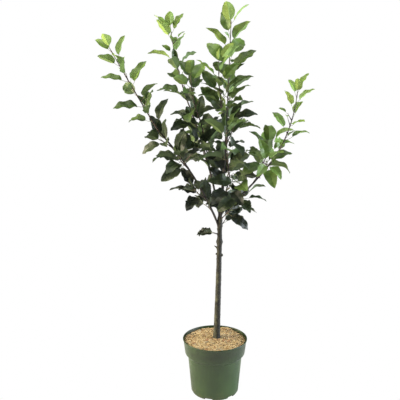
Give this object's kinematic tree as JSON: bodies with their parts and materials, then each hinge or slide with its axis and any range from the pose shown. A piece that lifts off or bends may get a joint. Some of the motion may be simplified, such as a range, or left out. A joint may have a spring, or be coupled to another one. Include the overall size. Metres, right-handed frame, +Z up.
{
  "type": "young bush apple tree in a pot",
  "caption": "Young bush-trained apple tree with a slim trunk, rising boughs and leafy shoots, standing in a round plastic nursery pot filled with compost and wood chips.",
  "frame": {"origin": "centre of the pot's flat underside", "axes": "+Z up along the pot's axis; +X level to the right and +Y level to the rear, as the tree is seen from its front"},
  "size_m": [0.7406, 0.4696, 1.4518],
  "materials": {
    "pot_plastic": "injection-moulded recycled polypropylene, green, satin",
    "compost": "dark moist potting compost",
    "wood_chips": "dry pale wood chip and bark mulch",
    "bark": "smooth grey-brown young apple bark",
    "leaves": "living apple leaves, semi-matt upper side and paler underside"
  },
  "bodies": {
    "root": {"pot": "pot_plastic", "compost": "compost", "wood_chips": "wood_chips", "trunk": "bark", "leader": "bark", "bough_left": "bark", "bough_inner_left": "bark", "bough_middle_left": "bark", "bough_right": "bark", "bough_rear": "bark", "bough_front": "bark", "leaves_leader_top": "leaves", "leaves_leader_side": "leaves", "leaves_leader_left": "leaves", "leaves_leader_right": "leaves", "leaves_leader_low": "leaves", "leaves_left_tip": "leaves", "leaves_left_middle": "leaves", "leaves_left_low": "leaves", "leaves_left_inner": "leaves", "leaves_left_foot": "leaves", "leaves_left_base": "leaves", "leaves_inner_left_tip": "leaves", "leaves_inner_left_side": "leaves", "leaves_inner_left_low": "leaves", "leaves_middle_left_tip": "leaves", "leaves_middle_left_low": "leaves", "leaves_right_tip": "leaves", "leaves_right_inner": "leaves", "leaves_right_low": "leaves", "leaves_right_middle": "leaves", "leaves_right_foot": "leaves", "leaves_rear_tip": "leaves", "leaves_rear_low": "leaves", "leaves_front_tip": "leaves", "leaves_front_low": "leaves", "leaves_trunk_right": "leaves", "leaves_trunk_foot_left": "leaves", "leaves_trunk_foot_right": "leaves"}
  },
  "joints": []
}
